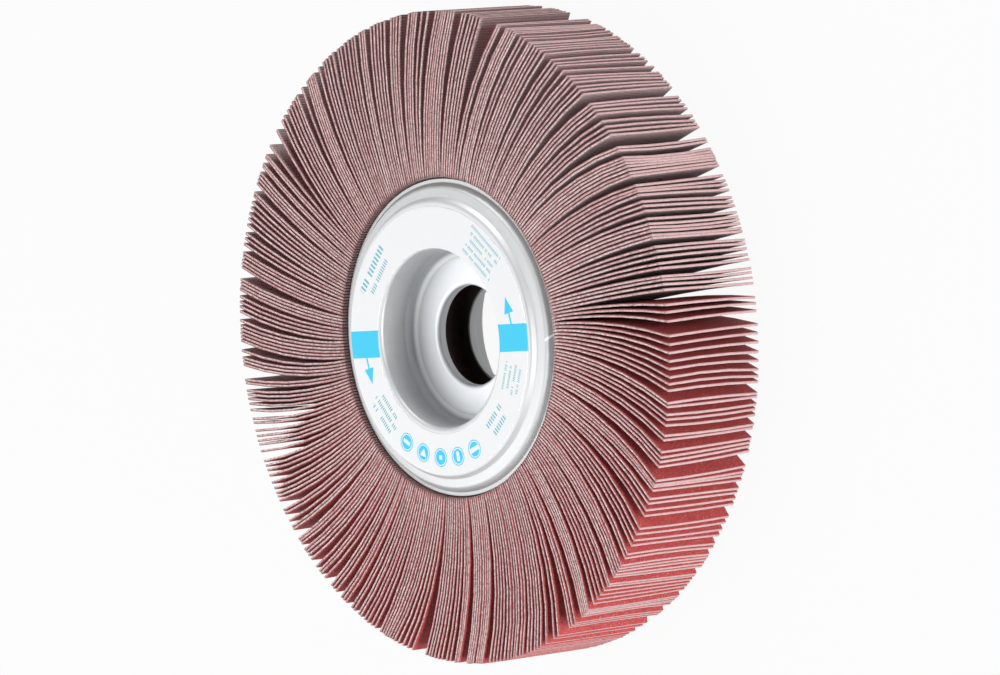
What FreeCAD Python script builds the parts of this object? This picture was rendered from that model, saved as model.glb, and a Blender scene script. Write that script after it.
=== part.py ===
import FreeCAD, Part
import math
import os
import random

os.makedirs("parts", exist_ok=True)

# Flap wheel: radial leaves of abrasive cloth, cast at their roots into a resin core between two pressed flanges.
# The axis is +Z, towards the printed side, and the origin is the middle of the wheel.
# Lengths are in millimetres. Angles are in degrees, clockwise from +X as seen from the printed side, because the
# flaps' tips trail their roots that way.

# Flaps
WHEEL_RADIUS = 82.5
FLAP_WIDTH = 30.0
CLOTH_THICKNESS = 0.62
ROOT_GAP = 0.175  # between two flaps where they leave the core
FLAP_CURL = 1.4  # a flap's trail grows with this power of the way out, so it curls towards its tip
KNEE = 0.5  # where along its length a flap's bend is drawn
CROWDING = 1.3  # closest pitch of two tips, as a share of the cloth's thickness, because they lie slanting
TIP_SCATTER = 0.12  # unevenness of the tips, either way
BUNDLE_SIZES = (2, 8)  # fewest and most flaps that cling together
MOST_CLING = 0.46  # how much closer the tips of the tightest bundle lie, as a share of the roots' pitch
LOOSENESS = 1.5  # the higher, the fewer of the bundles are tight
CLING_CURL = 0.6  # a bundle closes up with this power of the way out, so the gaps beside it start near the core
SEED = 5
# How far the tip trails, at some of the roots
TRAILS = (
    (0, 6.6), (15, 7.5), (25, 10.3), (47.8, 8.4), (48.2, 10.8), (52, 12.6), (90.6, 5.8), (91, 8.2), (95, 8.8),
    (103, 6.1), (168, 5.9), (188, 3.4), (198, 3.9), (208.6, 1.6), (210.6, 6.6), (257, 7.4), (273.4, 5.8),
    (273.8, 9.8), (286, 6.8), (312, 8.0), (345.2, 1.2), (346.2, 3.0), (356, 6.6),
)
# Where else the row of tips opens, and how far
OPENINGS = (
    (4.6, 0.5), (10.8, 0.8), (22.2, 1.1), (34.2, 0.9), (43.9, 0.5), (82.2, 0.7), (108.9, 0.7), (115.8, 0.7),
    (124.4, 1.4), (134.2, 0.9), (139.7, 0.9), (143, 1.1), (153, 1.2), (160.3, 0.8), (168.8, 2.4), (172.2, 1.0),
    (203.6, 0.7), (227.2, 1.4), (233.6, 0.9), (240.5, 0.7), (263.9, 1.3), (303, 0.8), (319.4, 1.6), (331, 0.8),
)
OPENING_REACH = 1.3  # how far beside an opening the tips are pushed together, as a share of its width
SETTLING_ROUNDS = 60

# Flanges, both cut and bent from one thickness of sheet
FLANGE_RADIUS = 40.0
BORE_RADIUS = 12.7
CUP_RADIUS = 22.5
SHEET = 1.0
PLATEAU_STANDOFF = 2.5  # of the plateau, out of the plane of the flaps' sides
RIM_SINK = 1.5  # of the rim's outer face, below that plane
CUP_DEPTH = 10.8
COLLAR_LENGTH = 2.6
RIM_FLAT = 0.9  # width of the flat land at the very edge
BEAD_SETBACK = 2.25  # of the bead's crest, in from the edge
BEAD_RISE = 1.7
LEDGE_WIDTH = 2.2
LEDGE_RISE = 0.8
PLATEAU_SETBACK = 1.0  # of the plateau's corner, in from the foot of its wall
EDGE_BEND = 1.0  # outer radius of the plateau's edge, of the lip and of the collar
CUP_BEND = 2.7  # radius of the corner round the cup's floor, on the hollow side

# Resin core
CORE_RADIUS = 17.5  # of its inner wall
NOTCH_GAP = 0.5  # between a flange's edge and the notched flaps
CORE_CLEARANCE = 0.3  # between the resin and a cup's wall

# Printed ring
LABEL_THICKNESS = 0.15
LABEL_INNER_MARGIN = 0.95  # out from the cup's wall
LABEL_OUTER_MARGIN = 0.7  # in from the plateau's corner
LABEL_OFFSET = 0.6  # it was stuck on this far below the centre

side_height = FLAP_WIDTH / 2
rim_height = side_height - RIM_SINK
plateau_height = side_height + PLATEAU_STANDOFF
floor_height = plateau_height - CUP_DEPTH
bead_radius = FLANGE_RADIUS - BEAD_SETBACK
ledge_radius = bead_radius - LEDGE_WIDTH
plateau_radius = ledge_radius - PLATEAU_SETBACK
root_radius = FLANGE_RADIUS + NOTCH_GAP
flap_count = int(2 * math.pi * root_radius / (CLOTH_THICKNESS + ROOT_GAP))
root_pitch = 360 / flap_count
closest_pitch = math.degrees(CROWDING * CLOTH_THICKNESS / WHEEL_RADIUS)

AXIS = FreeCAD.Vector(0, 0, 1)
CENTRE = FreeCAD.Vector(0, 0, 0)


def at(radius, angle):
    """The point of the XY plane at this radius and angle."""
    clockwise = math.radians(angle)
    return FreeCAD.Vector(radius * math.cos(clockwise), -radius * math.sin(clockwise), 0)


def section_point(radius, height):
    """A point of the half-plane that the round pieces are drawn in."""
    return FreeCAD.Vector(radius, 0, height)


def turned(face):
    """The round solid that a section sweeps about the axis."""
    return face.revolve(CENTRE, AXIS, 360)


def block_ring(outer, inner, low, high):
    """A ring with a rectangular section."""
    corners = [
        section_point(inner, low),
        section_point(outer, low),
        section_point(outer, high),
        section_point(inner, high),
    ]
    return turned(Part.Face(Part.makePolygon(corners + corners[:1])))


def bent_line(corners):
    """A line through (point, bend radius) corners, each bend an arc tangent to its two runs."""
    edges = []
    start = corners[0][0]
    for (before, _), (corner, bend), (after, _) in zip(corners, corners[1:], corners[2:]):
        if not bend:
            edges.append(Part.LineSegment(start, corner).toShape())
            start = corner
            continue
        back = (before - corner).normalize()
        on = (after - corner).normalize()
        half = back.getAngle(on) / 2
        reach = bend / math.tan(half)
        middle = corner + (back + on).normalize() * (bend / math.sin(half) - bend)
        edges.append(Part.LineSegment(start, corner + back * reach).toShape())
        edges.append(Part.Arc(corner + back * reach, middle, corner + on * reach).toShape())
        start = corner + on * reach
    edges.append(Part.LineSegment(start, corners[-1][0]).toShape())
    return Part.Wire(edges)


def pressed_flange():
    """The front flange: one sheet, drawn from the edge over bead and plateau into the cup and the bore's collar."""
    outer_skin = bent_line(
        [
            (section_point(FLANGE_RADIUS, rim_height), 0),
            (section_point(FLANGE_RADIUS - RIM_FLAT, rim_height), 0),
            (section_point(bead_radius, rim_height + BEAD_RISE), EDGE_BEND),
            (section_point(ledge_radius, rim_height + BEAD_RISE + LEDGE_RISE), 0),
            (section_point(plateau_radius, plateau_height), EDGE_BEND),
            (section_point(CUP_RADIUS, plateau_height), EDGE_BEND),
            (section_point(CUP_RADIUS, floor_height), CUP_BEND),
            (section_point(BORE_RADIUS, floor_height), EDGE_BEND),
            (section_point(BORE_RADIUS, floor_height - COLLAR_LENGTH), 0),
        ]
    )
    mitred = 2
    section = outer_skin.makeOffset2D(SHEET, mitred, True, True, False)
    return turned(section)


def trail_at(root):
    """How far the tip trails this root, on the line between the two nearest marks."""
    first_root, first_trail = TRAILS[0]
    marks = TRAILS + ((first_root + 360, first_trail),)
    for (low, before), (high, after) in zip(marks, marks[1:]):
        if low <= root < high:
            return before + (after - before) * (root - low) / (high - low)


def pushed_aside(tip):
    """A tip as the openings near it leave it."""
    push = 0
    for place, width in OPENINGS:
        reach = 1 + OPENING_REACH * width
        away = (tip - place + 180) % 360 - 180
        if abs(away) < reach:
            push += math.copysign(width / 2 * (1 - abs(away) / reach), away)
    return tip + push


def drawn_together(scatter):
    """How far each flap's tip is drawn towards the middle of the bundle that it clings to."""
    shifts = []
    while len(shifts) < flap_count:
        size = scatter.randint(*BUNDLE_SIZES)
        closer = MOST_CLING * scatter.random() ** LOOSENESS * root_pitch
        middle = (size - 1) / 2
        shifts += [(middle - place) * closer for place in range(size)]
    return shifts[:flap_count]


def kept_apart(tips):
    """The same tips with none so close to the next that their flaps would meet."""
    for _ in range(SETTLING_ROUNDS):
        for index in range(flap_count):
            after = (index + 1) % flap_count
            full_turn = 0 if after else 360
            short = closest_pitch - (tips[after] + full_turn - tips[index])
            if short > 0:
                tips[index] -= short / 2
                tips[after] += short / 2
    return tips


def on_circle(start, direction, radius):
    """Where a line first meets the circle of this radius ahead of its start."""
    along = start.dot(direction)
    return start + direction * (math.sqrt(along**2 - start.dot(start) + radius**2) - along)


def flap_outline(root_angle, lean, cling):
    """A flap's corners in the wheel's plane, out along its leading face, round its tip and back."""
    root, knee, tip = (
        at(
            root_radius + (WHEEL_RADIUS - root_radius) * share,
            root_angle + lean * share**FLAP_CURL + cling * share**CLING_CURL,
        )
        for share in (0, KNEE, 1)
    )
    inner_run = (knee - root).normalize()
    outer_run = (tip - knee).normalize()
    across = AXIS.cross(inner_run + outer_run).normalize()
    half = CLOTH_THICKNESS / 2
    faces = []
    for side in (half, -half):
        foot = root - inner_run * CLOTH_THICKNESS + AXIS.cross(inner_run) * side
        bend = knee + across * (side / across.dot(AXIS.cross(inner_run)))
        faces.append(
            [
                on_circle(foot, inner_run, root_radius),
                bend,
                on_circle(bend, outer_run, WHEEL_RADIUS),
            ]
        )
    leading, trailing = faces
    return leading + trailing[::-1]


def prism(points, low, high):
    """The straight solid on a closed outline, between two heights."""
    outline = Part.makePolygon(points + points[:1])
    outline.translate(AXIS * low)
    return Part.Face(outline).extrude(AXIS * (high - low))


def flaps_on_core():
    """All the flaps with the resin that holds their roots, notched and hollowed for the two flanges."""
    scatter = random.Random(SEED)
    roots = [index * root_pitch for index in range(flap_count)]
    clings = drawn_together(scatter)
    tips = kept_apart(
        [
            pushed_aside(root + trail_at(root)) + cling + scatter.uniform(-TIP_SCATTER, TIP_SCATTER)
            for root, cling in zip(roots, clings)
        ]
    )
    flaps = [
        flap_outline(root, tip - root - cling, cling)
        for root, tip, cling in zip(roots, tips, clings)
    ]
    star = [corner for flap in flaps for corner in flap]
    hub = [corner for flap in flaps for corner in (flap[0], flap[-1])]
    body = prism(star, -side_height, side_height)
    rim_underside = rim_height - SHEET
    notches = [
        prism(hub, rim_underside, side_height),
        prism(hub, -side_height, -rim_underside),
    ]
    recess = CUP_RADIUS + SHEET + CORE_CLEARANCE
    floor_underside = floor_height - SHEET
    hollows = [
        Part.makeCylinder(recess, FLAP_WIDTH, AXIS * floor_underside),
        Part.makeCylinder(recess, FLAP_WIDTH, AXIS * (-floor_underside - FLAP_WIDTH)),
        Part.makeCylinder(CORE_RADIUS, FLAP_WIDTH, AXIS * -side_height),
    ]
    return body.cut(notches + hollows)


def printed_ring():
    """The paper ring on the front plateau."""
    ring = block_ring(
        plateau_radius - LABEL_OUTER_MARGIN,
        CUP_RADIUS + LABEL_INNER_MARGIN,
        plateau_height,
        plateau_height + LABEL_THICKNESS,
    )
    ring.translate(FreeCAD.Vector(0, -LABEL_OFFSET, 0))
    return ring


front_flange = pressed_flange()
rear_flange = front_flange.copy()
rear_flange.rotate(CENTRE, FreeCAD.Vector(1, 0, 0), 180)

pieces = {
    "flap_core": flaps_on_core(),
    "front_flange": front_flange,
    "rear_flange": rear_flange,
    "front_label": printed_ring(),
}
for name, shape in pieces.items():
    print(name, "valid", shape.isValid(), "solids", len(shape.Solids), "volume", round(shape.Volume, 1))
    shape.exportStep(f"parts/{name}.step")
print("flaps", flap_count)
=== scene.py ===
# %% [markdown]
# The flap wheel and its fixed frame.
# A flap wheel is a hub with some three hundred leaves of abrasive cloth standing out of it like the pages of a
# round book. The imported CAD model comes first, because it says where each piece is. It could be dressed with
# materials alone, but each of its flaps is flat on either side of one knee. So curled flaps are laid over the
# same places, and the CAD box is measured, to set the floor under the wheel.

# %% Load the frame
import bpy
import math
import random
import numpy
from mathutils import Matrix, Vector


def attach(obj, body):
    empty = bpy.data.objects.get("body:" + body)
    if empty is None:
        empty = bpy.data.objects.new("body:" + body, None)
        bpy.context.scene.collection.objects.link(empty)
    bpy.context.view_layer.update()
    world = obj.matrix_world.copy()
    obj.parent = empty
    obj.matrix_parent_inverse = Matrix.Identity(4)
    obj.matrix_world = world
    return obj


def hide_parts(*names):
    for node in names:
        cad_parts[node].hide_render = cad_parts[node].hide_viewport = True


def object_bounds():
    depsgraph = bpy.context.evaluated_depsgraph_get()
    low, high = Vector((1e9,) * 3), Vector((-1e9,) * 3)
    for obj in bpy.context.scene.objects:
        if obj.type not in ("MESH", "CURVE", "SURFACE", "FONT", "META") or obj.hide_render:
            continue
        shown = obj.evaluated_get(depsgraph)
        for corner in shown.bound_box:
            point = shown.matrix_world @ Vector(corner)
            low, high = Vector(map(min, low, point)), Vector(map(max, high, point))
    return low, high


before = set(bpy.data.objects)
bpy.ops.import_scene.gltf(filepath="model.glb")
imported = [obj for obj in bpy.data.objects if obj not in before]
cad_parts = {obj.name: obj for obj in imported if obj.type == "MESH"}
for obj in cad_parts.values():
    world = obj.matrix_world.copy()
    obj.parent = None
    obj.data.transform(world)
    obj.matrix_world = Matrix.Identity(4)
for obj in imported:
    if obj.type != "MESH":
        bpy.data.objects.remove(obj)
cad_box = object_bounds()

MM = 0.001
print("CAD box in mm", [[round(side / MM, 2) for side in corner] for corner in cad_box])

# %% [markdown]
# The sizes of the real wheel.
# Every piece below is drawn from these few sizes, in millimetres. They could be read off the CAD nodes one by
# one, but a flange is easier to follow as a row of corners, just as a press tool is drawn.

# %% Sizes
WHEEL_RADIUS = 82.5
FLAP_WIDTH = 30.0
CLOTH_THICKNESS = 0.62
FLAP_COUNT = 320
NOTCH_RADIUS = 40.5
SHEET = 1.0
CORE_RADIUS = 17.5
CUP_CLEARANCE = 23.8
NOTCH_HEIGHT = 12.4
HALF_WIDTH = FLAP_WIDTH / 2
# Radius, height and bend of each corner of the pressed sheet, from its cut edge to the end of the bore's collar
FLANGE_CORNERS = (
    (40.0, 13.5, 0), (39.1, 13.5, 0.4), (37.75, 15.2, 1.0), (35.55, 16.0, 0.5), (34.55, 17.5, 1.0),
    (22.5, 17.5, 1.0), (22.5, 6.7, 2.7), (12.7, 6.7, 1.0), (12.7, 4.1, 0),
)
LABEL_OUTER, LABEL_INNER, LABEL_DROP = 33.85, 23.45, 0.6
PLATEAU, LABEL_THICKNESS = 17.5, 0.15
print("a flap stands out", WHEEL_RADIUS - NOTCH_RADIUS, "mm from its notch")

# %% [markdown]
# Small tools for the hands.
# An operator acts on whatever is selected, so each piece starts from an empty selection. Edges and faces are
# then picked by where they are, which is what a hand does with the mouse, and which stays right when a size
# changes.


# %% Helpers for modelling
def let_go():
    """Leaves edit mode and deselects everything."""
    if bpy.context.object and bpy.context.object.mode != "OBJECT":
        bpy.ops.object.mode_set(mode="OBJECT")
    bpy.ops.object.select_all(action="DESELECT")


def hold(piece):
    """Makes one piece the only one in hand."""
    let_go()
    piece.select_set(True)
    bpy.context.view_layer.objects.active = piece
    return piece


def pick_edges(piece, rule):
    """Opens a piece for editing, with only the edges selected whose two ends both pass the rule."""
    hold(piece)
    mesh = piece.data
    for part in (mesh.vertices, mesh.edges, mesh.polygons):
        part.foreach_set("select", [False] * len(part))
    for edge in mesh.edges:
        edge.select = all(rule(mesh.vertices[end].co / MM) for end in edge.vertices)
    bpy.ops.object.mode_set(mode="EDIT")
    bpy.ops.mesh.select_mode(type="EDGE")


def on_ring(radius, height, slack=0.01):
    """The rule for points on a circle about the axle."""
    return lambda point: abs(point.xy.length - radius) < slack and abs(point.z - height) < slack


def finish_modifier(piece, kind, **settings):
    """Adds a modifier with these settings and applies it."""
    hold(piece)
    modifier = piece.modifiers.new(kind.title(), kind)
    for setting, value in settings.items():
        setattr(modifier, setting, value)
    bpy.ops.object.modifier_apply(modifier=modifier.name)


def settle(piece, smooth_angle=30):
    """Puts a piece's place into its mesh and smooths its shallow edges."""
    hold(piece)
    bpy.ops.object.transform_apply(location=True, rotation=True, scale=True)
    bpy.ops.object.shade_smooth_by_angle(angle=math.radians(smooth_angle))
    return piece


print("helpers ready")

# %% [markdown]
# A ring drawn out of a circle.
# Both flanges, the paper ring and the resin core are round about the axle. A profile could be spun, but a circle
# whose edge is pulled out again and again shows each step of the pressing, and every ring of the mesh lands
# where a corner of the sheet is.

# %% Draw rings out of a circle
SEGMENTS = 160


def drawn_skin(name, corners, segments=SEGMENTS):
    """An open skin through rings of these radii and heights."""
    let_go()
    radius, height = corners[0][:2]
    bpy.ops.mesh.primitive_circle_add(vertices=segments, radius=radius * MM, location=(0, 0, height * MM))
    skin = bpy.context.object
    skin.name = name
    bpy.ops.object.mode_set(mode="EDIT")
    bpy.ops.mesh.select_all(action="SELECT")
    for before, after in zip(corners, corners[1:]):
        rise = (after[1] - before[1]) * MM
        bpy.ops.mesh.extrude_edges_move(TRANSFORM_OT_translate={"value": (0, 0, rise)})
        ratio = after[0] / before[0]
        bpy.ops.transform.resize(value=(ratio, ratio, 1))
    return settle(skin)


def face_up(skin, radius_low, radius_high):
    """Turns a skin inside out if its flat between two radii looks down."""
    hold(skin)
    flat = [f for f in skin.data.polygons if radius_low < f.center.xy.length / MM < radius_high]
    if sum(f.normal.z for f in flat) < 0:
        bpy.ops.object.mode_set(mode="EDIT")
        bpy.ops.mesh.select_all(action="SELECT")
        bpy.ops.mesh.flip_normals()
        let_go()


print("rings are drawn with", SEGMENTS, "segments")

# %% [markdown]
# The pressed flanges.
# Each side of the wheel is held by one sheet of zinc-plated steel, pressed into a beaded rim, a raised flat, a
# deep cup and a collar that is turned in round the bore. The corners are drawn sharp and then bevelled, because
# a bevel of the right width is exactly a bend. Solidify then gives the sheet its thickness, and the rear flange
# is the same pressing turned over.


# %% Press the front flange
def bend(skin, corners):
    """Bevels each inner corner of a skin into an arc of its bend radius."""
    for before, corner, after in zip(corners, corners[1:], corners[2:]):
        radius, height, bend_radius = corner
        if not bend_radius:
            continue
        inward = Vector((before[0] - radius, before[1] - height))
        onward = Vector((after[0] - radius, after[1] - height))
        reach = bend_radius / math.tan(inward.angle(onward) / 2)
        pick_edges(skin, on_ring(radius, height))
        bpy.ops.mesh.bevel(offset=reach * MM, segments=5, profile=0.5, affect="EDGES", clamp_overlap=False)
    let_go()


front_flange = drawn_skin("pressed_front_flange", FLANGE_CORNERS)
face_up(front_flange, 25, 33)
bend(front_flange, FLANGE_CORNERS)
finish_modifier(front_flange, "SOLIDIFY", thickness=SHEET * MM, offset=-1, use_even_offset=True)
settle(front_flange)
print(front_flange.name, len(front_flange.data.polygons), "faces")

# %% Turn the rear flange over
hold(front_flange)
bpy.ops.object.duplicate()
rear_flange = bpy.context.object
rear_flange.name = "pressed_rear_flange"
bpy.ops.transform.rotate(value=math.pi, orient_axis="X", center_override=(0, 0, 0))
settle(rear_flange)
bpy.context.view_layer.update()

# %% [markdown]
# The resin core.
# The roots of the flaps are cast into a ring of dark filled resin between the flanges. It shows through the bore
# and as a dark line round the flange's rim. It is drawn ring by ring like the flanges, and its last ring is
# bridged to its first, so that the wall closes without a seam.

# %% Cast the resin core
CORE_STEP, CORE_OUTER = 5.7, 40.4
CORE_SEGMENTS = 128
CORE_CORNERS = (
    (CORE_RADIUS, -CORE_STEP), (CORE_RADIUS, CORE_STEP), (CUP_CLEARANCE, CORE_STEP),
    (CUP_CLEARANCE, NOTCH_HEIGHT), (CORE_OUTER, NOTCH_HEIGHT), (CORE_OUTER, -NOTCH_HEIGHT),
    (CUP_CLEARANCE, -NOTCH_HEIGHT), (CUP_CLEARANCE, -CORE_STEP),
)
core = drawn_skin("resin_core", CORE_CORNERS, segments=CORE_SEGMENTS)
pick_edges(core, lambda point: on_ring(*CORE_CORNERS[0])(point) or on_ring(*CORE_CORNERS[-1])(point))
bpy.ops.mesh.bridge_edge_loops()
bpy.ops.mesh.select_all(action="SELECT")
bpy.ops.mesh.normals_make_consistent(inside=False)
settle(core)
print(core.name, len(core.data.polygons), "faces")

# %% [markdown]
# The printed paper ring.
# It is a washer of coated paper on the front flange's flat, stuck on a little low. Its shape is one flat ring
# with a thickness. What is printed on it comes later, as a material, because ink has no thickness.

# %% Cut the paper ring
LABEL_TOP = PLATEAU + LABEL_THICKNESS
paper = drawn_skin("printed_ring", ((LABEL_OUTER, LABEL_TOP), (LABEL_INNER, LABEL_TOP)))
face_up(paper, LABEL_INNER, LABEL_OUTER)
finish_modifier(paper, "SOLIDIFY", thickness=LABEL_THICKNESS * MM, offset=-1)
paper.location.y = -LABEL_DROP * MM
settle(paper)
print(paper.name, len(paper.data.polygons), "faces")

# %% [markdown]
# Shader maths in plain sums.
# A procedural material is a small calculation for each point of a surface. Written node by node it is hard to
# read, so a wire between nodes is wrapped in a class that knows plus, minus and times. An expression on wires
# then adds the nodes that it stands for.


# %% Wires and recipes
class Wire:
    """The value that comes out of a node, ready for sums."""

    def __init__(self, recipe, socket):
        self.recipe = recipe
        self.socket = socket

    def sum(self, operation, first, second=0.0):
        return self.recipe.node("ShaderNodeMath", {"operation": operation}, {0: first, 1: second})

    def __add__(self, other):
        return self.sum("ADD", self, other)

    __radd__ = __add__

    def __sub__(self, other):
        return self.sum("SUBTRACT", self, other)

    def __rsub__(self, other):
        return self.sum("SUBTRACT", other, self)

    def __mul__(self, other):
        return self.sum("MULTIPLY", self, other)

    __rmul__ = __mul__

    def __truediv__(self, other):
        return self.sum("DIVIDE", self, other)

    def __pow__(self, other):
        return self.sum("POWER", self, other)

    def __gt__(self, other):
        return self.sum("GREATER_THAN", self, other)

    def __lt__(self, other):
        return self.sum("LESS_THAN", self, other)

    def __abs__(self):
        return self.sum("ABSOLUTE", self)

    def most(self, other):
        return self.sum("MAXIMUM", self, other)

    def least(self, other):
        return self.sum("MINIMUM", self, other)

    def floor(self):
        return self.sum("FLOOR", self)

    def fraction(self):
        return self.sum("FRACT", self)

    def sine(self):
        return self.sum("SINE", self)

    def limited(self):
        return self.most(0.0).least(1.0)


class Recipe:
    """One material while it is being mixed."""

    def __init__(self, name, **constants):
        self.material = bpy.data.materials.new(name)
        self.material.use_nodes = True
        self.tree = self.material.node_tree
        self.shader = next(n for n in self.tree.nodes if n.type == "BSDF_PRINCIPLED")
        for socket, value in constants.items():
            self.shader.inputs[socket.replace("_", " ")].default_value = value
        self.point = self.node("ShaderNodeTexCoord", output="Object")

    def node(self, kind, settings=None, inputs=None, output=0):
        """Adds a node with its settings first and then its inputs, and gives the wire of one output."""
        made = self.tree.nodes.new(kind)
        for setting, value in (settings or {}).items():
            setattr(made, setting, value)
        for socket, value in (inputs or {}).items():
            if isinstance(value, Wire):
                self.tree.links.new(value.socket, made.inputs[socket])
            else:
                made.inputs[socket].default_value = value
        return Wire(self, made.outputs[output])

    def parts(self, vector):
        """The three coordinates of a vector."""
        split = self.node("ShaderNodeSeparateXYZ", inputs={0: vector}).socket.node
        return [Wire(self, socket) for socket in split.outputs]

    def noise(self, cell, detail=2.0, where=None):
        """Cloudy noise, its cells about this many millimetres across."""
        return self.node(
            "ShaderNodeTexNoise",
            inputs={"Vector": where or self.point, "Scale": 1 / (cell * MM), "Detail": detail},
        )

    def attribute(self, name):
        return self.node("ShaderNodeAttribute", {"attribute_name": name}, output="Fac")

    def stretched(self, scale):
        """The place, stretched along its three axes."""
        return self.node("ShaderNodeVectorMath", {"operation": "MULTIPLY"}, {0: self.point, 1: scale})

    def tint(self, share, plain, other):
        """A colour between two colours."""
        plain, other = (c if isinstance(c, Wire) else (*c, 1.0) for c in (plain, other))
        return self.node(
            "ShaderNodeMix",
            {"data_type": "RGBA", "blend_type": "MIX"},
            {"Factor": share, 6: plain, 7: other},
            output=2,
        )

    def between(self, value, low, high):
        """One between two limits and nothing outside them."""
        return (value > low) * (value < high)

    def bump(self, height, depth):
        """A surface that is raised by this many millimetres where the height is one."""
        return self.node("ShaderNodeBump", inputs={"Height": height, "Strength": 1.0, "Distance": depth * MM})

    def finish(self, **wires):
        """Plugs the wires in and hands over the material."""
        for socket, wire in wires.items():
            self.tree.links.new(wire.socket, self.shader.inputs[socket.replace("_", " ")])
        return self.material


def seen(red, green, blue):
    """A colour as a screen shows it, from 0 to 255, as the light that it stands for."""
    return tuple(
        c / 255 / 12.92 if c <= 10.3 else ((c / 255 + 0.055) / 1.055) ** 2.4 for c in (red, green, blue)
    )


print("brick red as light", [round(c, 3) for c in seen(178, 80, 78)])

# %% [markdown]
# The grit.
# Reddish aluminium oxide grains are bonded to one face of the cloth. Close up they are dark red pits and paler
# facets, a third of a millimetre across. Two noises of that size make them, and the finer one also raises the
# surface, which gives the dull sparkle.

# %% Mix the grit
grit = Recipe("brick_red_grit", Roughness=0.72)
grain = grit.noise(0.28, 3.0)
patches = grit.noise(6.0, 2.0)
facets = ((grain - 0.56) * 8.0).limited()
red = grit.tint((grain * 1.6 - 0.3).limited(), seen(142, 34, 38), seen(216, 88, 88))
red = grit.tint(facets * 0.5, red, seen(240, 172, 164))
red = grit.tint((patches - 0.35) * 0.5, red, seen(148, 44, 48))
brick_red_grit = grit.finish(Base_Color=red, Normal=grit.bump(grain, 0.12))
print(brick_red_grit.name, len(grit.tree.nodes), "nodes")

# %% [markdown]
# The bare back of the cloth.
# The back is a plain cotton weave that has taken up brown resin. Threads run along and across the flap, about
# half a millimetre apart, so the pattern follows the flap's own UV map, whose first axis runs from root to tip.
# Two sets of ridges, one over the other, make the weave.

# %% Mix the cloth's back
cloth = Recipe("resin_soaked_cloth", Roughness=0.85)
along, over, _ = cloth.parts(cloth.node("ShaderNodeTexCoord", output="UV"))
THREADS_ALONG, THREADS_ACROSS = 95.0, 62.0
warp = (over * (THREADS_ACROSS * 2 * math.pi)).sine()
weft = (along * (THREADS_ALONG * 2 * math.pi)).sine()
weave = warp * 0.25 + weft * 0.25 + 0.5
fuzz = cloth.noise(0.5, 3.0)
stain = cloth.noise(9.0, 2.0)
back = cloth.tint((weave * 0.7 + fuzz * 0.6 - 0.15).limited(), seen(104, 90, 91), seen(196, 184, 183))
back = cloth.tint((stain - 0.4) * 0.6, back, seen(120, 100, 99))
resin_soaked_cloth = cloth.finish(Base_Color=back, Normal=cloth.bump(weave + fuzz * 0.5, 0.08))
print(resin_soaked_cloth.name, len(cloth.tree.nodes), "nodes")

# %% [markdown]
# The cut edges.
# Most of the wheel that one sees is cut edge: three hundred thin stripes of thread ends. They are pale pink,
# with darker pits between the threads and with tufts that are lighter or darker. The layer of grit is a dark
# line along one side of the stripe. The tips are worn greyer, and near the flange the resin has stained the
# cloth. Each flap also has its own shade, from the number that its copy was given.

# %% Mix the cut edge
WORN_RADIUS, STAINED_RADIUS = 81.2, 41.4
edge = Recipe("cut_thread_ends", Roughness=0.9)
x, y, z = edge.parts(edge.point)
from_axle = (x * x + y * y) ** 0.5 / MM
threads = edge.noise(0.42, 2.0)
tufts = edge.noise(0.8, 2.0)
dust = edge.noise(0.3, 1.0, edge.stretched((1.3, 1.3, 1.3)))
tone = edge.attribute("flap_tone")
pale = edge.tint(tone, seen(242, 196, 195), seen(255, 230, 227))
thready = ((threads - 0.44) * 3.2 + 0.5).limited()
pale = edge.tint(thready, seen(174, 126, 128), pale)
pale = edge.tint(((dust - 0.6) * 7.0).limited() * 0.5, pale, seen(252, 226, 221))
pale = edge.tint(((tufts - 0.54) * 8.0).limited() * 0.45, pale, seen(255, 232, 228))
pale = edge.tint(((0.47 - tufts) * 8.0).limited() * 0.5, pale, seen(160, 108, 110))
coated = (edge.attribute("grit_side") + (threads - 0.5) * 0.5) > 0.7
pale = edge.tint(coated * 0.85, pale, seen(112, 44, 46))
worn = ((from_axle - WORN_RADIUS) * 1.4).limited()
pale = edge.tint(worn * 0.7, pale, seen(192, 160, 160))
stained = ((STAINED_RADIUS - from_axle) * 1.2 + (tufts - 0.5) * 2.4).limited()
pale = edge.tint(stained * 0.6, pale, seen(96, 66, 64))
cut_thread_ends = edge.finish(Base_Color=pale, Normal=edge.bump(threads + dust * 0.6, 0.22))
print(cut_thread_ends.name, len(edge.tree.nodes), "nodes")

# %% [markdown]
# One flap of abrasive cloth.
# A flap is a rectangle of cloth with grit on one face, notched where the flanges grip it. It is modelled once,
# lying flat along the X axis, from a grid that is cut into columns. Solidify gives it thickness and at the same
# time puts the grit, the bare cloth and the cut edge in three material slots.

# %% Cut one flap
TIP_MARGIN = 0.12
COLUMNS = (38.6, 40.3, 40.5, 44.5, 49.0, 57.0, 65.5, 74.0, WHEEL_RADIUS - TIP_MARGIN)
NOTCHED_COLUMNS = 2
ROWS = 3
GRIT, CLOTH, CUT = 0, 1, 2
let_go()
bpy.ops.mesh.primitive_grid_add(x_subdivisions=len(COLUMNS) - 1, y_subdivisions=ROWS, size=2)
flap = bpy.context.object
flap.name = "one_flap"
for corner in flap.data.vertices:
    column = round((corner.co.x + 1) / 2 * (len(COLUMNS) - 1))
    notched = column < NOTCHED_COLUMNS
    height = corner.co.y * (NOTCH_HEIGHT if notched else HALF_WIDTH)
    corner.co = (COLUMNS[column] * MM, 0, -height * MM)
for material in (brick_red_grit, resin_soaked_cloth, cut_thread_ends):
    flap.data.materials.append(material)
finish_modifier(
    flap, "SOLIDIFY", thickness=CLOTH_THICKNESS * MM, offset=0, material_offset=CLOTH, material_offset_rim=CUT
)
coat = flap.data.attributes.new("grit_side", "FLOAT", "POINT")
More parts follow.
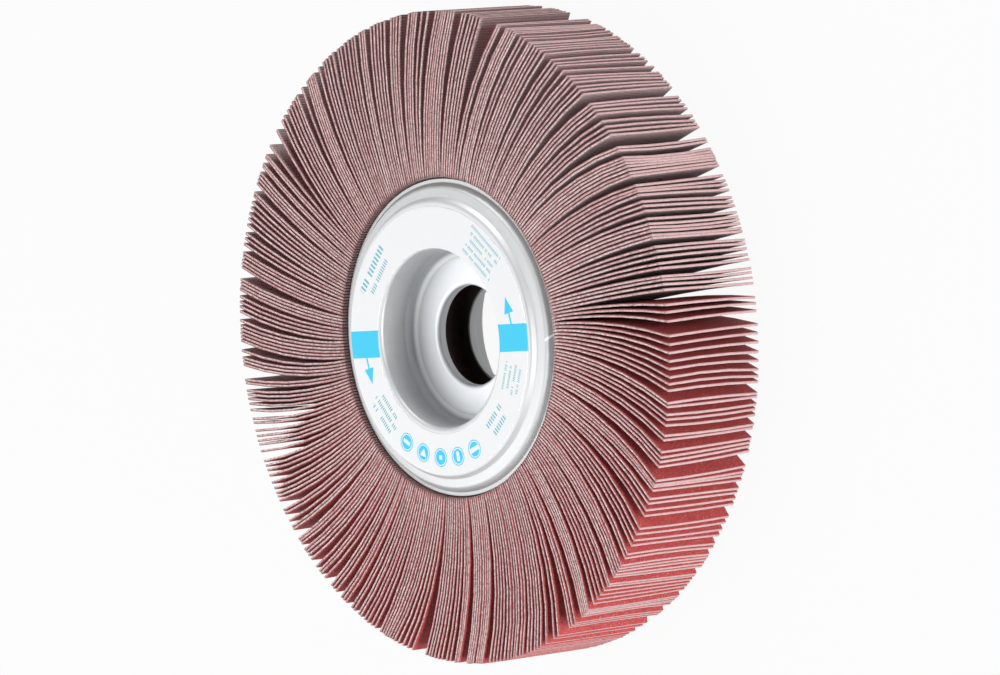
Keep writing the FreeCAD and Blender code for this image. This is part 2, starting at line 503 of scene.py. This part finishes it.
coat.data.foreach_set("value", [float(corner.co.y > 0) for corner in flap.data.vertices])
grit_looks = sum(face.normal.y for face in flap.data.polygons if face.material_index == GRIT)
print("one flap has", len(flap.data.polygons), "faces and its grit looks along Y", grit_looks > 0)

# %% [markdown]
# How the flaps lie.
# The roots are set evenly round the core, and the tips trail them, more in some places than in others.
# Neighbours cling together in small bundles, whose size is drawn by chance. The larger openings between them
# were read off the photograph, and each pushes its neighbours aside. A last pass moves tips apart that
# come too close. The same rule makes the flaps of the CAD model.

# %% Lay out the tips
# How far the tip trails, at some of the roots, in degrees clockwise from the X axis
TRAILS = (
    (0, 6.6), (15, 7.5), (25, 10.3), (47.8, 8.4), (48.2, 10.8), (52, 12.6), (90.6, 5.8), (91, 8.2), (95, 8.8),
    (103, 6.1), (168, 5.9), (188, 3.4), (198, 3.9), (208.6, 1.6), (210.6, 6.6), (257, 7.4), (273.4, 5.8),
    (273.8, 9.8), (286, 6.8), (312, 8.0), (345.2, 1.2), (346.2, 3.0), (356, 6.6),
)
# Where else the row of tips opens, and by how many degrees
OPENINGS = (
    (4.6, 0.5), (10.8, 0.8), (22.2, 1.1), (34.2, 0.9), (43.9, 0.5), (82.2, 0.7), (108.9, 0.7), (115.8, 0.7),
    (124.4, 1.4), (134.2, 0.9), (139.7, 0.9), (143, 1.1), (153, 1.2), (160.3, 0.8), (168.8, 2.4), (172.2, 1.0),
    (203.6, 0.7), (227.2, 1.4), (233.6, 0.9), (240.5, 0.7), (263.9, 1.3), (303, 0.8), (319.4, 1.6), (331, 0.8),
)
TIP_SCATTER = 0.12
BUNDLE_SIZES = (2, 8)
MOST_CLING = 0.46
CLOSEST_PITCH = math.degrees(1.3 * CLOTH_THICKNESS / WHEEL_RADIUS)
ROOT_PITCH = 360 / FLAP_COUNT
SPACING_PASSES = 60
SEED = 5


def trail_at(root):
    """How far the tip trails this root, on the line between the two nearest marks."""
    marks = TRAILS + ((TRAILS[0][0] + 360, TRAILS[0][1]),)
    for (low, before), (high, after) in zip(marks, marks[1:]):
        if low <= root < high:
            return before + (after - before) * (root - low) / (high - low)


def pushed_aside(tip):
    """A tip as the openings near it leave it."""
    push = 0
    for place, width in OPENINGS:
        reach = 1 + 1.3 * width
        away = (tip - place + 180) % 360 - 180
        if abs(away) < reach:
            push += math.copysign(width / 2 * (1 - abs(away) / reach), away)
    return tip + push


def drawn_together():
    """How far each flap's tip is drawn towards the middle of the bundle that it clings to."""
    shifts = []
    while len(shifts) < FLAP_COUNT:
        size = draw.randint(*BUNDLE_SIZES)
        closer = MOST_CLING * draw.random() ** 1.5 * ROOT_PITCH
        shifts += [((size - 1) / 2 - place) * closer for place in range(size)]
    return shifts[:FLAP_COUNT]


draw = random.Random(SEED)
roots = [index * ROOT_PITCH for index in range(FLAP_COUNT)]
clings = drawn_together()
tips = [
    pushed_aside(root + trail_at(root)) + cling + draw.uniform(-TIP_SCATTER, TIP_SCATTER)
    for root, cling in zip(roots, clings)
]
for _ in range(SPACING_PASSES):
    for index in range(FLAP_COUNT):
        after = (index + 1) % FLAP_COUNT
        short = CLOSEST_PITCH - (tips[after] + (360 if after == 0 else 0) - tips[index])
        if short > 0:
            tips[index] -= short / 2
            tips[after] += short / 2
gaps = [(tips[(i + 1) % FLAP_COUNT] - tips[i]) % 360 for i in range(FLAP_COUNT)]
print("tips are", round(min(gaps), 2), "to", round(max(gaps), 2), "degrees apart")

# %% [markdown]
# Three hundred and twenty flaps.
# Each copy of the flap is bent to its own lean. A bend modifier has one curvature, while the real flaps leave
# the core straight and curl towards the tip, so the mesh is moved along that curve in code. The cut at the tip
# is then slanted to lie along the rim, as on a wheel that was ground true. A flap is also a little twisted and
# bowed, as cloth is, and no two are cut to quite the same length. Twist and bow come on top of the spacing, so
# some neighbours still run into each other near their tips. Ten flaps are joined into one pack, so that the
# model stays light to handle.

# %% Bend and copy the flaps
CURL = 1.4
CLING_CURL = 0.6
WAVES = (7, 13, 22, 37)
TWIST, BOW, BOW_SCATTER = 0.5, 0.5, 0.05
LENGTH_SCATTER, NARROWEST = 0.2, 0.986
flat = numpy.array([corner.co for corner in flap.data.vertices])
face_middle = numpy.array([face.center for face in flap.data.polygons])


def slow_noise(position, seed):
    """A smooth unevenness round the wheel, from -1 to 1."""
    waves = random.Random(seed)
    total = sum(math.sin(math.radians(position) * turns + waves.uniform(0, 6.3)) for turns in WAVES)
    return total / len(WAVES)


def bent_flap(index):
    """A copy of the flap on its own mesh, bent to its place in the wheel."""
    root, cling = roots[index], clings[index]
    lean = tips[index] - root - cling
    twist = TWIST * slow_noise(root, 1)
    bow = BOW * slow_noise(root, 2) + draw.uniform(-BOW_SCATTER, BOW_SCATTER)
    length = draw.uniform(-LENGTH_SCATTER, 0)
    width = draw.uniform(NARROWEST, 1.0)
    radius = flat[:, 0] / MM
    share = numpy.clip((radius - NOTCH_RADIUS) / (WHEEL_RADIUS - NOTCH_RADIUS), 0, 1)
    radius = radius + share * length
    across = flat[:, 2] / (HALF_WIDTH * MM)
    trail = lean * share**CURL + cling * share**CLING_CURL
    trail = trail + (twist * across + bow * (1 - across**2)) * share**2
    slope = lean * CURL * share ** (CURL - 1) / (WHEEL_RADIUS - NOTCH_RADIUS)
    tilt = numpy.arctan(radius * numpy.radians(slope))
    angle = -numpy.radians(root + trail)
    side = flat[:, 1] / MM
    at_tip = flat[:, 0] == flat[:, 0].max()
    dressed = -side * numpy.tan(tilt) * at_tip
    x = radius * numpy.cos(angle) - side * numpy.sin(angle - tilt) + dressed * numpy.cos(angle - tilt)
    y = radius * numpy.sin(angle) + side * numpy.cos(angle - tilt) + dressed * numpy.sin(angle - tilt)
    bent = numpy.column_stack((x, y, flat[:, 2] / MM * width)) * MM
    copy = flap.copy()
    copy.data = flap.data.copy()
    copy.data.vertices.foreach_set("co", bent.astype(numpy.float32).ravel())
    tone = copy.data.attributes.new("flap_tone", "FLOAT", "FACE")
    tone.data.foreach_set("value", [draw.uniform(0, 1)] * len(copy.data.polygons))
    bpy.context.scene.collection.objects.link(copy)
    return copy


flaps = [bent_flap(index) for index in range(FLAP_COUNT)]
print(len(flaps), "flaps bent")

# %% Join the flaps into packs
PACK = 10
packs = []
for start in range(0, FLAP_COUNT, PACK):
    pack = hold(flaps[start])
    for other in flaps[start : start + PACK]:
        other.select_set(True)
    bpy.ops.object.join()
    pack.name = f"flap_pack_{start // PACK + 1:02d}"
    packs.append(settle(pack, smooth_angle=40))
bpy.data.objects.remove(flap)
print(len(packs), "packs of", len(packs[0].data.polygons), "faces")

# %% [markdown]
# The zinc plate.
# Zinc on pressed steel is a dull grey mirror with a faint cloudy bloom, so the plate is only partly metallic
# here. Drawing the sheet leaves rings round the axle, and the cup's wall gets short streaks along its height.
# The rings follow the distance from the axle, and the streaks the angle round it, so both are worked out from
# the point's place. The floor of the front cup is painted brighter, as painted light, and two darker rings where
# it bends up are painted reflections. The side that faces the core is coated with resin, and the rim has one
# small nick.

# %% Mix the zinc plate
CUP_FLOOR_RADIUS = 20.9
REFLECTION_BAND_RADIUS, REFLECTION_LINE_RADIUS = 21.7, 20.1
NICK_ANGLE, NICK_RADIUS = 0.105, 39.0
METAL_SHARE = 0.56
zinc = Recipe("satin_zinc_plate", Metallic=1.0)
x, y, z = zinc.parts(zinc.point)
from_axle = (x * x + y * y) ** 0.5 / MM
angle = zinc.node("ShaderNodeMath", {"operation": "ARCTAN2"}, {0: y, 1: x})
round_the_axle = zinc.node("ShaderNodeCombineXYZ", inputs={0: angle * 2.0, 1: from_axle * 2.2, 2: z * 1400.0})
rings = zinc.node("ShaderNodeTexNoise", inputs={"Vector": round_the_axle, "Scale": 1.0, "Detail": 3.0})
bloom = zinc.noise(5.0, 3.0)
specks = zinc.noise(0.5, 2.0)
on_wall = zinc.between(from_axle, 21.3, 22.7)
round_the_wall = zinc.node("ShaderNodeCombineXYZ", inputs={0: angle * 26.0, 1: z * 90.0})
streaks = zinc.node("ShaderNodeTexNoise", inputs={"Vector": round_the_wall, "Scale": 1.0, "Detail": 2.0})
steel = zinc.tint(rings * 0.6 + bloom * 0.4, seen(178, 180, 181), seen(203, 204, 204))
# Painted light: the front cup's floor is tinted brighter, standing in for light that falls into the cup.
painted_light_on_cup_floor = ((CUP_FLOOR_RADIUS - from_axle) * 0.6).limited() * (z / MM > 0.0)
steel = zinc.tint(painted_light_on_cup_floor * 0.85, steel, seen(226, 228, 231))
# Painted reflection: two darker rings in and near the cup's bend stand in for dark surroundings reflected in the
# zinc.
painted_reflection_band = (1.0 - abs(from_axle - REFLECTION_BAND_RADIUS) / 0.7).limited() * 0.55
painted_reflection_line = (1.0 - abs(from_axle - REFLECTION_LINE_RADIUS) / 0.3).limited() * 0.4
steel = zinc.tint(painted_reflection_band.most(painted_reflection_line), steel, seen(104, 109, 116))
steel = zinc.tint(on_wall * ((streaks - 0.5) * 2.0).limited() * 0.22, steel, seen(150, 156, 160))
cast_on = zinc.between(abs(z) / MM, -1.0, 5.9) * zinc.between(from_axle, 13.2, 21.4)
steel = zinc.tint(cast_on, steel, seen(44, 32, 28))
across_nick = (angle - NICK_ANGLE) * from_axle - (from_axle - NICK_RADIUS) * 0.8
nick = zinc.between(across_nick, -0.3, 0.3) * zinc.between(from_axle, 37.6, 40.1)
steel = zinc.tint(nick * 0.9, steel, seen(255, 255, 255))
satin = 0.42 + bloom * 0.1 + rings * 0.06 + specks * 0.05 + nick * 0.2
satin_zinc_plate = zinc.finish(
    Base_Color=steel,
    Metallic=(1.0 - cast_on) * METAL_SHARE,
    Roughness=satin + cast_on * 0.3,
    Normal=zinc.bump(rings + specks * 0.35 + on_wall * streaks, 0.02),
)
print(satin_zinc_plate.name, len(zinc.tree.nodes), "nodes")

# %% [markdown]
# The resin.
# The cast resin is dark brown, almost black, and uneven where it ran between the roots. Coarse noise in its
# colour and its height is enough, because it lies in shade.

# %% Mix the resin
resin = Recipe("dark_cast_resin", Roughness=0.5)
lumps = resin.noise(1.6, 3.0)
flecks = resin.noise(0.5, 2.0)
brown = resin.tint(lumps, seen(34, 22, 20), seen(72, 48, 42))
brown = resin.tint(((flecks - 0.62) * 6.0).limited() * 0.4, brown, seen(120, 88, 80))
dark_cast_resin = resin.finish(Base_Color=brown, Normal=resin.bump(lumps + flecks * 0.4, 0.3))
print(dark_cast_resin.name, len(resin.tree.nodes), "nodes")

# %% [markdown]
# The print on the paper ring.
# The ring carries fields of sky blue, two arrows that show the sense of turning, small roundels with a plain
# white mark in each, and rows of plain dashes, which read as small print from afar. Each mark is a mask, a wire
# that is one inside the mark and nothing outside it, and the masks are added up into the ink.

# %% Lay out the print
print_job = Recipe("printed_paper", Roughness=0.45, Specular_IOR_Level=0.3)
x, y, z = print_job.parts(print_job.point)
x, y = x / MM, y / MM + LABEL_DROP
FIELD_ANGLE, FIELD_HALF_WIDTH = 6.9, 3.45
ARROW_RADIUS, ROUNDEL_RADIUS = 28.4, 29.4
FIRST_ROUNDEL, ROUNDEL_STEP = -114.2, 13.1


def turned_to(degrees):
    """The place on the ring, as the distances outwards and counterclockwise of a mark at this angle."""
    cosine, sine = math.cos(math.radians(degrees)), math.sin(math.radians(degrees))
    return x * cosine + y * sine, y * cosine - x * sine


def field_and_arrow(degrees):
    """A blue field right across the ring, and the arrow that starts from it."""
    outward, aside = turned_to(degrees)
    field = print_job.between(aside, -FIELD_HALF_WIDTH, FIELD_HALF_WIDTH) * (outward > 0.0)
    outward, aside = turned_to(degrees + 12.5)
    off_line = abs(outward - ARROW_RADIUS)
    stem = (off_line < 0.32) * print_job.between(aside, -3.2, 0.2)
    head = print_job.between(aside, 0.0, 4.2) * (off_line < (4.2 - aside) * 0.42)
    return field.most(stem).most(head)


def roundel(degrees, half_height, half_width, taper):
    """A disc in a thin ring, with a plain white mark in it that narrows outwards by its taper."""
    outward, aside = turned_to(degrees)
    outward = outward - ROUNDEL_RADIUS
    reach = (outward * outward + aside * aside) ** 0.5
    plain_mark = (abs(outward) < half_height) * (abs(aside) < half_width + outward * taper)
    return print_job.between(reach, 2.12, 2.4).most((reach < 1.85) * (1.0 - plain_mark))


def small_print(degrees, middle, rows, pitch, half_length, height):
    """Rows of dashes of uneven length, like lines of print seen from afar."""
    outward, aside = turned_to(degrees)
    line = (outward - middle) / pitch + rows / 2
    row = line.floor()
    inside = print_job.between(row, -0.5, rows - 0.5) * (abs(line.fraction() - 0.5) < height / pitch / 2)
    stroke = aside * (1.7 / height) + row * 7.3
    inside = inside * (stroke.fraction() < 0.5)
    cell = print_job.node("ShaderNodeCombineXYZ", inputs={0: stroke.floor(), 1: row})
    dash = print_job.node("ShaderNodeTexWhiteNoise", {"noise_dimensions": "2D"}, {"Vector": cell})
    ragged = print_job.node("ShaderNodeTexWhiteNoise", {"noise_dimensions": "1D"}, {"W": row + degrees})
    return inside * (dash > 0.17) * (abs(aside) < half_length * (1.0 - ragged * 0.3))


bold = field_and_arrow(FIELD_ANGLE).most(field_and_arrow(FIELD_ANGLE + 180))
# Half the height, half the width and the taper of each roundel's white mark
MARKS = ((0.5, 1.3, 0.0), (0.9, 0.7, 0.6), (0.55, 0.55, 0.0), (1.25, 0.55, 0.0), (0.6, 1.9, 0.0))
for step, mark in enumerate(MARKS):
    bold = bold.most(roundel(FIRST_ROUNDEL + ROUNDEL_STEP * step, *mark))
print("fields at", FIELD_ANGLE, "and", FIELD_ANGLE + 180, "degrees,", len(MARKS), "roundels")

# %% Print the paper
# Angle, middle, rows, pitch, half length and height of each block of dashes
BLOCKS = (
    (-14, 28.6, 4, 1.75, 4.2, 0.75), (-39, 28.6, 2, 3.0, 4.6, 1.5), (-135, 28.6, 3, 2.2, 5.4, 1.1),
    (-212, 30.2, 1, 3.0, 8.6, 2.0), (-212, 26.9, 1, 2.4, 6.4, 1.3), (-305, 28.6, 5, 1.75, 7.0, 0.8),
)
faint = small_print(*BLOCKS[0])
for block in BLOCKS[1:]:
    faint = faint.most(small_print(*block))
mottle = print_job.noise(2.5, 2.0)
blank = print_job.tint(mottle * 0.5, seen(252, 253, 254), seen(246, 249, 252))
inked = print_job.tint(bold, blank, seen(60, 214, 255))
inked = print_job.tint(faint * (1.0 - bold) * 0.85, inked, seen(60, 176, 198))
printed_paper = print_job.finish(Base_Color=inked, Normal=print_job.bump(mottle, 0.015))
print(printed_paper.name, len(print_job.tree.nodes), "nodes")

# %% [markdown]
# Dress the pieces and hide the CAD nodes that they stand for.
# Each piece gets its material and rides on the wheel's one body, and the CAD node that it stands for is hidden.


# %% Dress the pieces
def dress(piece, material, node):
    """Gives a piece its material, unless it has one, and its place in the frame."""
    if material:
        piece.data.materials.append(material)
    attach(piece, "root")
    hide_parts(node)


for pack in packs:
    dress(pack, None, "flap_core")
dress(core, dark_cast_resin, "flap_core")
dress(front_flange, satin_zinc_plate, "front_flange")
dress(rear_flange, satin_zinc_plate, "rear_flange")
dress(paper, printed_paper, "front_label")
print(len(packs) + 4, "pieces dressed")

# %% [markdown]
# The studio.
# The wheel lies on its rear flange on a pale floor, and the camera looks down on it from one side, which is how
# the photograph sees it. The floor is white to the camera and to reflections, yet keeps part of the real light
# on it, so that the wheel's shadow stays. Two wide lamps light the face and the side, and two low, narrow ones
# light the rim. The zinc reflects a white world and one dark card, which gives it its grey bands.

# %% Floor and world
let_go()
bpy.ops.mesh.primitive_plane_add(size=8, location=(0, 0, cad_box[0].z))
floor = bpy.context.object
floor.name = "studio_floor"
floor_paint = Recipe("floor_paint", Roughness=0.9, Base_Color=(0.6, 0.6, 0.6, 1.0))
KEEP_WHITE = 0.94
DAYLIGHT, REFLECTED = 0.1, 1.0
rays = floor_paint.node("ShaderNodeLightPath").socket.node.outputs
looked_at = Wire(floor_paint, rays["Is Camera Ray"]).most(Wire(floor_paint, rays["Is Glossy Ray"]))
looked_at = looked_at.most(Wire(floor_paint, rays["Is Transmission Ray"]))
glow = floor_paint.node("ShaderNodeEmission", inputs={"Color": (1.0, 1.0, 1.0, 1.0), "Strength": 1.0})
painted = Wire(floor_paint, floor_paint.shader.outputs[0])
shown = floor_paint.node("ShaderNodeMixShader", inputs={0: looked_at * KEEP_WHITE, 1: painted, 2: glow})
output = next(n for n in floor_paint.tree.nodes if n.type == "OUTPUT_MATERIAL")
floor_paint.tree.links.new(shown.socket, output.inputs["Surface"])
floor.data.materials.append(floor_paint.material)
world = bpy.data.worlds.new("soft_daylight")
world.use_nodes = True
sky = world.node_tree
background = sky.nodes["Background"]
background.inputs["Color"].default_value = (0.96, 0.98, 1.0, 1.0)
ray_kinds = sky.nodes.new("ShaderNodeLightPath").outputs
shown_white = sky.nodes.new("ShaderNodeMath")
shown_white.operation = "MAXIMUM"
sky.links.new(ray_kinds["Is Camera Ray"], shown_white.inputs[0])
sky.links.new(ray_kinds["Is Glossy Ray"], shown_white.inputs[1])
strength = sky.nodes.new("ShaderNodeMath")
strength.operation = "MULTIPLY_ADD"
strength.inputs[1].default_value = REFLECTED - DAYLIGHT
strength.inputs[2].default_value = DAYLIGHT
sky.links.new(shown_white.outputs[0], strength.inputs[0])
sky.links.new(strength.outputs[0], background.inputs["Strength"])
bpy.context.scene.world = world
CARD_PLACE = (1.79, 0.28, 1.57)
bpy.ops.mesh.primitive_plane_add(size=1.7, location=CARD_PLACE)
card = bpy.context.object
card.name = "dark_card"
card.rotation_euler = Vector(CARD_PLACE).to_track_quat("Z", "Y").to_euler()
card.data.materials.append(Recipe("card_paint", Roughness=0.9, Base_Color=(0.05, 0.05, 0.05, 1.0)).material)
print("floor at", round(cad_box[0].z / MM, 2), "mm")


# %% Lamps
def soft_lamp(name, place, width, height, watts):
    """A flat lamp aimed at the wheel."""
    let_go()
    bpy.ops.object.light_add(type="AREA", location=place)
    lamp = bpy.context.object
    lamp.name = name
    lamp.data.shape = "RECTANGLE"
    lamp.data.size = width
    lamp.data.size_y = height
    lamp.data.energy = watts
    lamp.rotation_euler = Vector(place).to_track_quat("Z", "Y").to_euler()


soft_lamp("front_key", (-0.4, -0.7, 1.2), 2.0, 2.0, 19.3)
soft_lamp("side_card", (-1.05, -0.15, 0.95), 2.0, 2.0, 8.5)
soft_lamp("rim_lamp", (1.26, -0.2, 0.16), 1.3, 0.28, 18.5)
soft_lamp("top_lamp", (-0.15, 1.3, 0.13), 0.8, 0.22, 9.5)
print("four soft lamps")

# %% [markdown]
# The camera.
# It stands where the photograph was taken from, worked out from the front and rear rims of the flaps, whose
# diameter and distance are known. Its up is close to the wheel's Y axis, so that the wheel stands upright in the
# picture as in the photograph.

# %% Camera
PLACE = Vector((1.1613, 0.1842, 1.0226))
RIGHT = Vector((0.6620, 0.0, -0.7495))
UP = Vector((-0.0891, 0.9929, -0.0787))
SENSOR_WIDTH, LENS = 36, 221.8
let_go()
bpy.ops.object.camera_add(location=PLACE)
camera = bpy.context.object
axes = Matrix((RIGHT, UP, RIGHT.cross(UP))).transposed()
camera.rotation_euler = axes.to_euler()
camera.data.sensor_width = SENSOR_WIDTH
camera.data.lens = LENS
bpy.context.scene.camera = camera
bpy.context.scene.view_settings.view_transform = "Standard"
print("camera", round(PLACE.length, 3), "m from the wheel")
